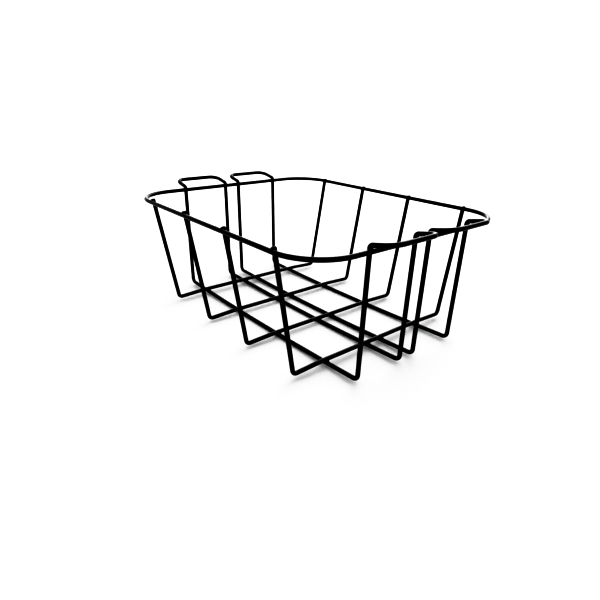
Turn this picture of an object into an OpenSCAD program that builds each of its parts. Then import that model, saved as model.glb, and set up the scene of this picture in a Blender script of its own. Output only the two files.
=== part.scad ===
// Hanging wire basket: one rim ring, four U-shaped cross wires and two closed hook loops,
// resistance welded wherever two wires meet and then coated black.
// Frame: origin on the floor under the middle of the basket, +X along its length, +Z up.

/* [Rim ring] */
// Length of the rim over its outside
rim_l = 276; // [272:1:284]
// Width of the rim over its outside
rim_w = 229; // [215:1:245]
// Height of the top of the rim above the floor
rim_top = 109.2; // [100:0.1:112]
// Corner radius of the rim, on the wire's centre line
rim_corner_r = 37; // [28:1:38]
// Diameter of the coated rim wire
rim_d = 3.8; // [3.6:0.1:4.2]

/* [Body wires] */
// Diameter of the coated wire of the cross wires and the hook loops
wire_d = 3.8; // [3.4:0.1:4]
// How far two wires sink into each other at a weld
set_down = 0.7; // [0.5:0.05:0.8]

/* [Cross wires] */
// Distance from one cross wire to the next
cross_pitch = 64; // [56:1:65]
// Width of a cross wire between its two floor bends, before rounding
cross_floor_w = 184; // [170:1:195]
// Radius of the floor bends of a cross wire, on its centre line
cross_bend_r = 4; // [3:0.5:8]
// How far the cut ends of a cross wire stand above the rim
tip_rise = 0.9; // [0.6:0.1:3]
// Radius of the coated edge of a cut end
tip_edge_r = 0.8; // [0.4:0.1:1]
// How far the floor bends of a cross wire hang below the middle of its floor run
cross_droop = 1.4; // [0.5:0.1:2]

/* [Hook loops] */
// Width of a loop, from wire centre to wire centre
loop_w = 49; // [40:0.5:55]
// Distance between the middles of the two loops
loop_pitch = 66; // [62:0.5:75]
// Length of a loop between its two floor bends, before rounding
loop_floor_l = 262; // [245:1:264]
// Radius of the floor bends of a loop, on its centre line
loop_bend_r = 4.5; // [3:0.5:10]
// Radius of the shallow bow of the floor runs, which stand on the floor in the middle
run_bow_r = 3900; // [3000:100:9000]

/* [Hooks] */
// Length of the basket over its hooks
hook_l = 312; // [304:1:325]
// Height of the top of the hook crossbars above the floor
hook_top = 117.1; // [115:0.1:125]
// Height of the corner where an upright turns into a hook arm, above the middle of the rim
neck_rise = 3.7; // [3.5:0.1:5]
// Radius of the bend from an upright into a hook arm
neck_bend_r = 2.8; // [2.4:0.1:3.4]
// Radius of the two corners of a hook
hook_corner_r = 9.5; // [5:0.5:12]

/* [Hidden] */

coat_colour = [0.04, 0.04, 0.045];

// Facets round a wire, round a wire end and along one bend
section_fn = 16;
end_fn = 40;
bend_steps = 10;

// A bend draws the wire thinner by bend_thin, and the straight runs lap over its ends
bend_thin = 0.04;
bend_lap = 0.1;

// A nugget reaches past the sunken part of its two wires by weld_margin
weld_margin = 0.1;

// A cross wire starts to hang this far outside the outer loop runs, in a bend of this radius
droop_gap = 5;
droop_bend_r = 120;

rim_x = (rim_l - rim_d) / 2;
rim_y = (rim_w - rim_d) / 2;
rim_z = rim_top - rim_d / 2;

cross_count = 4;
cross_x = [for (i = [0 : cross_count - 1]) (i - (cross_count - 1) / 2) * cross_pitch];
cross_floor_y = cross_floor_w / 2;

loop_floor_x = loop_floor_l / 2;
loop_y = [-loop_pitch / 2, loop_pitch / 2];
run_y = [for (y = loop_y, side = [-1, 1]) y + side * loop_w / 2];

// The loop runs stand on the floor in the middle, and bow up to straight ends at bow_lean
run_z = (wire_d - bend_thin) / 2;
bow_lean = asin((loop_floor_x - 2 * loop_bend_r) / run_bow_r);
bow_corner_z = run_z - run_bow_r * (1 / cos(bow_lean) - 1);
loop_corner_z = bow_corner_z + loop_floor_x * tan(bow_lean);
function run_rise(x) = run_bow_r - sqrt(run_bow_r ^ 2 - x ^ 2);

// The cross wires lie on the loop runs, and their ends hang lower
function cross_z(x) = run_z + run_rise(x) + wire_d - set_down;
function cross_corner_z(x) = cross_z(x) - cross_droop;

hook_x = (hook_l - wire_d) / 2;
hook_z = hook_top - wire_d / 2;
neck_z = rim_z + neck_rise;

// Distance between the middles of two welded wires, distance from the first wire's middle to the
// middle of the weld, and radius of the nugget
function weld_gap(d_1, d_2) = (d_1 + d_2) / 2 - set_down;
function weld_offset(d_1, d_2) =
    weld_gap(d_1, d_2) / 2 + (d_1 ^ 2 - d_2 ^ 2) / (8 * weld_gap(d_1, d_2));
function weld_r(d_1, d_2) = sqrt(d_1 ^ 2 / 2 - 2 * weld_offset(d_1, d_2) ^ 2) + weld_margin;

rim_offset = weld_gap(rim_d, wire_d);
rim_weld_offset = weld_offset(rim_d, wire_d);
rim_weld_r = weld_r(rim_d, wire_d);
floor_weld_r = weld_r(wire_d, wire_d);

// Outward lean, from the vertical, of an upright that stands at (out, z) on the floor and
// touches a rim wire whose middle is at rim_out
function lean(out, z, rim_out) =
    atan2(rim_out - out, rim_z - z) - asin(rim_offset / norm([rim_out - out, rim_z - z]));

function cross_lean(x) = lean(cross_floor_y, cross_corner_z(x), rim_y);
loop_lean = lean(loop_floor_x, loop_corner_z, rim_x);
neck_x = loop_floor_x + (neck_z - loop_corner_z) * tan(loop_lean);

// Small vector helpers
function unit(v) = v / norm(v);
function turn(u, v) = atan2(norm(cross(u, v)), u * v);
function any_normal(v) = unit(abs(v.z) < 0.9 ? cross(v, [0, 0, 1]) : cross(v, [1, 0, 0]));
function reversed(list) = [for (i = [len(list) - 1 : -1 : 0]) list[i]];

// Puts children at origin o, with their X and Y along the unit vectors x and y
module placed(o, x, y) {
    z = cross(x, y);
    multmatrix([
        [x.x, y.x, z.x, o.x],
        [x.y, y.y, z.y, o.y],
        [x.z, y.z, z.z, o.z],
        [0, 0, 0, 1]
    ])
        children();
}

// Puts children at o with their Z along the unit vector z
module aimed(o, z) {
    x = any_normal(z);
    placed(o, x, cross(z, x)) children();
}

module straight(from, to, d) {
    aimed(from, unit(to - from)) cylinder(h = norm(to - from), d = d, $fn = section_fn);
}

// Round bend at corner p, from direction u into direction v
module bend(p, u, v, r, d) {
    angle = turn(u, v);
    start = p - u * r * tan(angle / 2);
    inward = unit(v - u * (u * v));
    placed(start + inward * r, -inward, u)
        rotate_extrude(angle = angle, $fn = ceil(bend_steps * 360 / angle))
            translate([r, 0])
                circle(d = d - bend_thin, $fn = section_fn);
}

// Wire of diameter d along points, with a bend radius for each point: an open wire leaves its
// first and last point sharp, a closed one runs back to its first point
module wire(points, radii, d, closed = false) {
    n = len(points);
    runs = closed ? n : n - 1;
    dirs = [for (i = [0 : runs - 1]) unit(points[(i + 1) % n] - points[i])];
    before = function (i) dirs[(i + runs - 1) % runs];
    is_bend = function (i) closed || (i > 0 && i < n - 1);
    trim = [
        for (i = [0 : n - 1])
            is_bend(i) ? radii[i] * tan(turn(before(i), dirs[i]) / 2) - bend_lap : 0
    ];
    for (i = [0 : runs - 1]) {
        next = (i + 1) % n;
        straight(points[i] + dirs[i] * trim[i], points[next] - dirs[i] * trim[next], d);
    }
    for (i = [0 : n - 1])
        if (is_bend(i))
            bend(points[i], before(i), dirs[i], radii[i], d);
}

// Rounded, coated cut end of a wire, standing on the XY plane and lapping into the wire below it
module cut_end(d, r) {
    flat_r = (d - bend_thin) / 2 - r;
    rotate_extrude($fn = end_fn) {
        translate([0, -bend_lap]) square([flat_r, r + bend_lap]);
        translate([0, -bend_lap]) square([flat_r + r, bend_lap]);
        intersection() {
            translate([flat_r, 0]) circle(r = r, $fn = end_fn);
            square([flat_r + r, r]);
        }
    }
}

module nuggets(points, r) {
    for (p = points)
        translate(p) sphere(r = r, $fn = section_fn);
}

// Middles of the welds, by place
function floor_welds_of(x) = [for (y = run_y) [x, y, cross_z(x) - weld_gap(wire_d, wire_d) / 2]];
function side_welds_of(x) = [
    for (side = [-1, 1])
        [
            x,
            side * (rim_y - rim_weld_offset * cos(cross_lean(x))),
            rim_z + rim_weld_offset * sin(cross_lean(x))
        ]
];
function end_welds_of(y) = [
    for (side = [-1, 1])
        [
            side * (rim_x - rim_weld_offset * cos(loop_lean)),
            y,
            rim_z + rim_weld_offset * sin(loop_lean)
        ]
];
floor_weld_points = [for (x = cross_x) each floor_welds_of(x)];
side_weld_points = [for (x = cross_x) each side_welds_of(x)];
end_weld_points = [for (y = run_y) each end_welds_of(y)];

module rim_ring() {
    corners = [
        [rim_x, -rim_y, rim_z],
        [rim_x, rim_y, rim_z],
        [-rim_x, rim_y, rim_z],
        [-rim_x, -rim_y, rim_z]
    ];
    color(coat_colour)
        difference() {
            wire(corners, [for (p = corners) rim_corner_r], rim_d, closed = true);
            nuggets(concat(side_weld_points, end_weld_points), rim_weld_r);
        }
}

// U-shaped wire across the basket at x, from one rim side to the other
module cross_wire(x) {
    lean = cross_lean(x);
    // The drawn run stops below the rounded tip
    tip_z = rim_top + tip_rise - tip_edge_r * cos(lean);
    tip_y = cross_floor_y + (tip_z - cross_corner_z(x)) * tan(lean);
    half = [
        [x, run_y[len(run_y) - 1] + droop_gap, cross_z(x)],
        [x, cross_floor_y, cross_corner_z(x)],
        [x, tip_y, tip_z]
    ];
    radii = [droop_bend_r, cross_bend_r, 0];
    mirrored = [for (p = reversed(half)) [p.x, -p.y, p.z]];
    color(coat_colour)
        difference() {
            union() {
                wire(concat(mirrored, half), concat(reversed(radii), radii), wire_d);
                for (side = [-1, 1])
                    aimed([x, side * tip_y, tip_z], [0, side * sin(lean), cos(lean)])
                        cut_end(wire_d, tip_edge_r);
            }
            nuggets(floor_welds_of(x), floor_weld_r);
            nuggets(side_welds_of(x), rim_weld_r);
        }
}

// Closed wire round one pair of runs: along the floor, up both ends and out over the rim
module hook_loop(y) {
    runs = [y - loop_w / 2, y + loop_w / 2];
    function leg(side, y) = [
        [side * loop_floor_x, y, loop_corner_z],
        [side * neck_x, y, neck_z],
        [side * hook_x, y, hook_z]
    ];
    function run_and_hook(side, y_from, y_to) =
        concat([[0, y_from, bow_corner_z]], leg(side, y_from), reversed(leg(side, y_to)));
    leg_radii = [loop_bend_r, neck_bend_r, hook_corner_r];
    radii = concat([run_bow_r], leg_radii, reversed(leg_radii));
    color(coat_colour)
        difference() {
            wire(
                concat(run_and_hook(1, runs[0], runs[1]), run_and_hook(-1, runs[1], runs[0])),
                concat(radii, radii),
                wire_d,
                closed = true
            );
            nuggets(floor_weld_points, floor_weld_r);
            nuggets([for (run = runs) each end_welds_of(run)], rim_weld_r);
        }
}

module floor_welds() {
    color(coat_colour) nuggets(floor_weld_points, floor_weld_r);
}

module side_rim_welds() {
    color(coat_colour) nuggets(side_weld_points, rim_weld_r);
}

module end_rim_welds() {
    color(coat_colour) nuggets(end_weld_points, rim_weld_r);
}

rim_ring();
cross_wire(cross_x[0]);  // cross_wire_1
cross_wire(cross_x[1]);  // cross_wire_2
cross_wire(cross_x[2]);  // cross_wire_3
cross_wire(cross_x[3]);  // cross_wire_4
hook_loop(loop_y[0]);  // hook_loop_front
hook_loop(loop_y[1]);  // hook_loop_rear
floor_welds();
side_rim_welds();
end_rim_welds();
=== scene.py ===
"""Looks of the hanging wire basket: black powder coat on the wires, coated weld fillets, white studio."""

import math

import bmesh
import bpy
from mathutils import Matrix, Vector


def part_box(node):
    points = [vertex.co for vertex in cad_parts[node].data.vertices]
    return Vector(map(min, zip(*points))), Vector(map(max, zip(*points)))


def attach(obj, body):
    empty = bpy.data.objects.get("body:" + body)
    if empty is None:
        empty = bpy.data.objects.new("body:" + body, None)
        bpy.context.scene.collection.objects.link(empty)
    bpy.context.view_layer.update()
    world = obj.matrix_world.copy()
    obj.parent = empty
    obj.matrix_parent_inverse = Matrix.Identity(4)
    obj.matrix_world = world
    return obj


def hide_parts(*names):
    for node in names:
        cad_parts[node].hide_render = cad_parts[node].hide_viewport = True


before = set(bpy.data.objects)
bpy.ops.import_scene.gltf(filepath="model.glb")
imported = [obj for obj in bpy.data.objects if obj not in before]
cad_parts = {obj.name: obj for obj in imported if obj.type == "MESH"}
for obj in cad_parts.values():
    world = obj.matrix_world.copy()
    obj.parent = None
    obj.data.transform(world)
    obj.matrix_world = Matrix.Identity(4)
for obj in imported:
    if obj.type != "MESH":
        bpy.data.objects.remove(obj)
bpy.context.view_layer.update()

MM = 0.001
X = Vector((1, 0, 0))
Y = Vector((0, 1, 0))
Z = Vector((0, 0, 1))
WHITE = (1, 1, 1, 1)

# Camera, as seen in the photograph: angles round the basket, where the floor under the middle of the basket
# lies in front of the lens, and the lens and its sensor in millimetres
VIEW_AZIMUTH = math.radians(50.11)
VIEW_ELEVATION = math.radians(23.27)
VIEW_ROLL = math.radians(1.17)
VIEW_DEPTH = 484.4 * MM
VIEW_RIGHT = 4.7 * MM
VIEW_DOWN = 9.5 * MM
LENS = 28.13
SENSOR = 36.0
CLIP_START = 10 * MM

# Studio: a white room with a brighter wall low behind the basket, and a square white floor
ROOM_STRENGTH = 1.25
WALL_STRENGTH = 3.4
WALL_TOWARDS = Vector((-0.75, 0.62, -0.25))
WALL_EDGE = (0.80, 0.90)
FLOOR_SHADE = 0.80
FLOOR_ROUGHNESS = 0.9
FLOOR_SPECULAR = 0.1
FLOOR_SIZE = 2.0

# Two broad lights, each with its place and diameter in metres and its power in watts
BACK_LIGHT = (Vector((-1.17, 2.03, 1.64)), 2.2, 29.0)
TOP_LIGHT = (Vector((-0.45, 0.36, 1.80)), 2.8, 10.5)

# Tone of the picture: the photograph's hard contrast, with deep blacks, clear whites and a soft shoulder on
# the curve that the three colours share
VIEW_GAMMA = 0.4545
VIEW_BLACK = 0.12
VIEW_WHITE = 1.17
VIEW_SHOULDER = ((0.60, 0.716), (0.80, 0.925))
SHARED_CURVE = 3

# Powder coat: its two shades, and the size, detail and height of its noises
COAT_BLACK = (0.008, 0.008, 0.0087, 1)
COAT_GREY = (0.016, 0.016, 0.0173, 1)
COAT_SPECULAR = 0.5
SHADE_SIZE = 30 * MM
SHADE_DETAIL = 3
PEEL_SIZE = 1.1 * MM
PEEL_DETAIL = 2
PEEL_HEIGHT = 0.020 * MM
GRAIN_SIZE = 0.28 * MM
GRAIN_DETAIL = 1
GRAIN_HEIGHT = 0.006 * MM

# The peel's noise between these values takes the roughness from the first to the second
PEEL_RANGE = (0.3, 0.7)
ROUGHNESS = (0.18, 0.28)

# Welds: how far two wires sink into each other, a distance wider than a nugget, and the coat drawn into
# the corner between the wires
SET_DOWN = 0.7 * MM
NUGGET_D = 4 * MM
FILLET_R = 0.8 * MM
FILLET_STEPS = 40
FILLET_ARC = 6

WELDS = ("floor_welds", "side_rim_welds", "end_rim_welds")


def middle(node):
    """Middle of a CAD node's box."""
    low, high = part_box(node)
    return (low + high) / 2


def half(node):
    """Half the size of a CAD node's box, along each axis."""
    low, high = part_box(node)
    return (high - low) / 2


def shader_noise(tree, place, size, detail):
    """Noise in object space with features about size metres across."""
    noise = tree.nodes.new("ShaderNodeTexNoise")
    noise.inputs["Scale"].default_value = 1 / size
    noise.inputs["Detail"].default_value = detail
    tree.links.new(place, noise.inputs["Vector"])
    return noise.outputs["Fac"]


def shader_range(tree, value, before, after):
    """Map range node that takes a value from one range to another."""
    mapped = tree.nodes.new("ShaderNodeMapRange")
    mapped.inputs["From Min"].default_value = before[0]
    mapped.inputs["From Max"].default_value = before[1]
    mapped.inputs["To Min"].default_value = after[0]
    mapped.inputs["To Max"].default_value = after[1]
    tree.links.new(value, mapped.inputs["Value"])
    return mapped


def shader_bump(tree, height, depth, below=None):
    """Bump of the given depth in metres, on top of another bump."""
    bump = tree.nodes.new("ShaderNodeBump")
    bump.inputs["Distance"].default_value = depth
    tree.links.new(height, bump.inputs["Height"])
    if below is not None:
        tree.links.new(below, bump.inputs["Normal"])
    return bump.outputs["Normal"]


def powder_coat():
    """Satin black powder coat: slow changes of shade, uneven gloss, orange peel and a fine grain."""
    coat = bpy.data.materials.new("black_powder_coat")
    coat.use_nodes = True
    tree = coat.node_tree
    shader = tree.nodes["Principled BSDF"]
    shader.inputs["Specular IOR Level"].default_value = COAT_SPECULAR
    place = tree.nodes.new("ShaderNodeTexCoord").outputs["Object"]

    shade = tree.nodes.new("ShaderNodeMix")
    shade.data_type = "RGBA"
    shade.inputs["A"].default_value = COAT_BLACK
    shade.inputs["B"].default_value = COAT_GREY
    tree.links.new(shader_noise(tree, place, SHADE_SIZE, SHADE_DETAIL), shade.inputs["Factor"])
    tree.links.new(shade.outputs["Result"], shader.inputs["Base Color"])

    peel = shader_noise(tree, place, PEEL_SIZE, PEEL_DETAIL)
    gloss = shader_range(tree, peel, PEEL_RANGE, ROUGHNESS)
    tree.links.new(gloss.outputs["Result"], shader.inputs["Roughness"])

    grain = shader_bump(tree, shader_noise(tree, place, GRAIN_SIZE, GRAIN_DETAIL), GRAIN_HEIGHT)
    tree.links.new(shader_bump(tree, peel, PEEL_HEIGHT, grain), shader.inputs["Normal"])
    return coat


def add_fillet(bm, weld, along_a, along_b, up, r_a, r_b, gap):
    """Closed bead with a rolling-ball fillet between wire a and wire b, which cross at right angles.

    weld is the middle of the weld, which divides the gap between the wires' axes as their radii do, and up
    points from wire a to wire b. A ball of the fillet's radius rolls round the weld and touches both wires.
    """
    # How far the ball's middle is from each axis, and its highest and lowest place above the axis of wire a.
    # The steps pass on both sides of those two places, where a root below would be of zero.
    ball_a, ball_b = r_a + FILLET_R, r_b + FILLET_R
    top, bottom = ball_a, gap - ball_b
    to_frame = Matrix((along_a, along_b, up)).transposed()
    origin = weld - up * gap * r_a / (r_a + r_b)
    rings = []
    for step in range(FILLET_STEPS):
        turn = 2 * math.pi * (step + 0.5) / FILLET_STEPS
        z = (top + bottom) / 2 + (top - bottom) / 2 * math.cos(2 * turn)
        x = math.copysign(math.sqrt(ball_b**2 - (z - gap) ** 2), math.cos(turn))
        y = math.copysign(math.sqrt(ball_a**2 - z**2), math.sin(turn))
        centre = Vector((x, y, z))
        to_a = Vector((0, -y, -z)) / ball_a
        to_b = Vector((-x, 0, gap - z)) / ball_b
        arc = [to_a.slerp(to_b, i / FILLET_ARC) for i in range(FILLET_ARC + 1)]
        rings.append([bm.verts.new(origin + to_frame @ (centre + FILLET_R * way)) for way in arc])
    ends = [bm.verts.new(origin + to_frame @ Vector((0, 0, z))) for z in (0, gap)]
    for ring, after in zip(rings, rings[1:] + rings[:1]):
        for i in range(FILLET_ARC):
            bm.faces.new((ring[i], after[i], after[i + 1], ring[i + 1]))
        bm.faces.new((after[0], ring[0], ends[0]))
        bm.faces.new((ring[-1], after[-1], ends[1]))


def weld_piece(name, node, coat, welds):
    """One piece that stands for a node of weld nuggets: a coated fillet at each weld."""
    bm = bmesh.new()
    for weld in welds:
        add_fillet(bm, **weld)
    bmesh.ops.recalc_face_normals(bm, faces=bm.faces)
    mesh = bpy.data.meshes.new(name)
    bm.to_mesh(mesh)
    bm.free()
    mesh.shade_smooth()
    mesh.materials.append(coat)
    piece = bpy.data.objects.new(name, mesh)
    bpy.context.scene.collection.objects.link(piece)
    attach(piece, "root")
    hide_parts(node)


def weld_middles(name):
    """Middle of each nugget of a CAD node."""
    nuggets = []
    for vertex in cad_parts[name].data.vertices:
        point = vertex.co
        near = [n for n in nuggets if (n[0] - point).length < NUGGET_D]
        if near:
            near[0].append(point)
        else:
            nuggets.append([point])
    low = [Vector(map(min, zip(*n))) for n in nuggets]
    high = [Vector(map(max, zip(*n))) for n in nuggets]
    return [(a + b) / 2 for a, b in zip(low, high)]


def weld_fillets(coat):
    """Fillets at the floor crossings and along the inside of the rim."""
    wire_r = half("cross_wire_1").x
    rim_r = half("rim_ring").z
    rim_out = half("rim_ring") - Vector((rim_r, rim_r, 0))
    rim_z = middle("rim_ring").z

    floor = [
        dict(weld=weld, along_a=X, along_b=Y, up=Z, r_a=wire_r, r_b=wire_r, gap=2 * wire_r - SET_DOWN)
        for weld in weld_middles("floor_welds")
    ]
    weld_piece("floor_weld_fillets", "floor_welds", coat, floor)

    for name, node, along_rim, outward, out in (
        ("side_weld_fillets", "side_rim_welds", X, Y, rim_out.y),
        ("end_weld_fillets", "end_rim_welds", Y, X, rim_out.x),
    ):
        welds = []
        for weld in weld_middles(node):
            side = math.copysign(1, weld.dot(outward))
            rim_middle = along_rim * weld.dot(along_rim) + side * out * outward + rim_z * Z
            inward = (weld - rim_middle).normalized()
            welds.append(dict(weld=weld, along_a=along_rim, along_b=inward.cross(along_rim), up=inward,
                              r_a=rim_r, r_b=wire_r, gap=rim_r + wire_r - SET_DOWN))
        weld_piece(name, node, coat, welds)


def add_camera():
    """Camera at the photograph's place, turned as the photograph is."""
    right = Vector((math.cos(VIEW_AZIMUTH), math.sin(VIEW_AZIMUTH), 0))
    level = Vector((math.sin(VIEW_AZIMUTH), -math.cos(VIEW_AZIMUTH), 0))
    back = level * math.cos(VIEW_ELEVATION) + Z * math.sin(VIEW_ELEVATION)
    up = back.cross(right)
    roll = Matrix.Rotation(VIEW_ROLL, 3, back)
    right, up = roll @ right, roll @ up
    place = Matrix((right, up, back)).transposed().to_4x4()
    place.translation = back * VIEW_DEPTH - right * VIEW_RIGHT + up * VIEW_DOWN
    lens = bpy.data.cameras.new("camera")
    lens.lens = LENS
    lens.sensor_width = SENSOR
    lens.clip_start = CLIP_START
    camera = bpy.data.objects.new("camera", lens)
    camera.matrix_world = place
    bpy.context.scene.collection.objects.link(camera)
    bpy.context.scene.camera = camera


def set_tone():
    """Show nearly linear light, through a curve with a black level, a white level and a shoulder."""
    view = bpy.context.scene.view_settings
    view.view_transform = "Standard"
    view.gamma = VIEW_GAMMA
    view.use_curve_mapping = True
    tone = view.curve_mapping
    tone.black_level = (VIEW_BLACK, VIEW_BLACK, VIEW_BLACK)
    tone.white_level = (VIEW_WHITE, VIEW_WHITE, VIEW_WHITE)
    for light, shade in VIEW_SHOULDER:
        tone.curves[SHARED_CURVE].points.new(light, shade)
    tone.update()


def add_room():
    """White room all round, brighter on one wall."""
    world = bpy.data.worlds.new("white_room")
    world.use_nodes = True
    tree = world.node_tree
    background = tree.nodes["Background"]
    background.inputs["Color"].default_value = WHITE
    facing = tree.nodes.new("ShaderNodeVectorMath")
    facing.operation = "DOT_PRODUCT"
    facing.inputs[1].default_value = WALL_TOWARDS.normalized()
    tree.links.new(tree.nodes.new("ShaderNodeTexCoord").outputs["Generated"], facing.inputs[0])
    wall = shader_range(tree, facing.outputs["Value"], WALL_EDGE, (ROOM_STRENGTH, WALL_STRENGTH))
    wall.interpolation_type = "SMOOTHSTEP"
    tree.links.new(wall.outputs["Result"], background.inputs["Strength"])
    bpy.context.scene.world = world


def add_lights():
    """Two broad round lights that face the basket."""
    for name, (place, size, power) in (("back_light", BACK_LIGHT), ("top_light", TOP_LIGHT)):
        box = bpy.data.lights.new(name, "AREA")
        box.shape = "DISK"
        box.size = size
        box.energy = power
        lamp = bpy.data.objects.new(name, box)
        lamp.location = place
        lamp.rotation_euler = place.to_track_quat("Z", "Y").to_euler()
        bpy.context.scene.collection.objects.link(lamp)


def white_paper():
    """Matt white paper of the floor."""
    paper = bpy.data.materials.new("white_paper")
    paper.use_nodes = True
    shader = paper.node_tree.nodes["Principled BSDF"]
    shader.inputs["Base Color"].default_value = (FLOOR_SHADE, FLOOR_SHADE, FLOOR_SHADE, 1)
    shader.inputs["Roughness"].default_value = FLOOR_ROUGHNESS
    shader.inputs["Specular IOR Level"].default_value = FLOOR_SPECULAR
    return paper


def add_floor():
    """Square of white paper under the basket."""
    side = FLOOR_SIZE / 2
    mesh = bpy.data.meshes.new("floor")
    corners = [(-side, -side, 0), (side, -side, 0), (side, side, 0), (-side, side, 0)]
    mesh.from_pydata(corners, [], [(0, 1, 2, 3)])
    mesh.materials.append(white_paper())
    floor = bpy.data.objects.new("floor", mesh)
    bpy.context.scene.collection.objects.link(floor)


coat = powder_coat()
for name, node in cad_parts.items():
    if name not in WELDS:
        node.data.materials.clear()
        node.data.materials.append(coat)
weld_fillets(coat)
add_camera()
set_tone()
add_room()
add_lights()
add_floor()
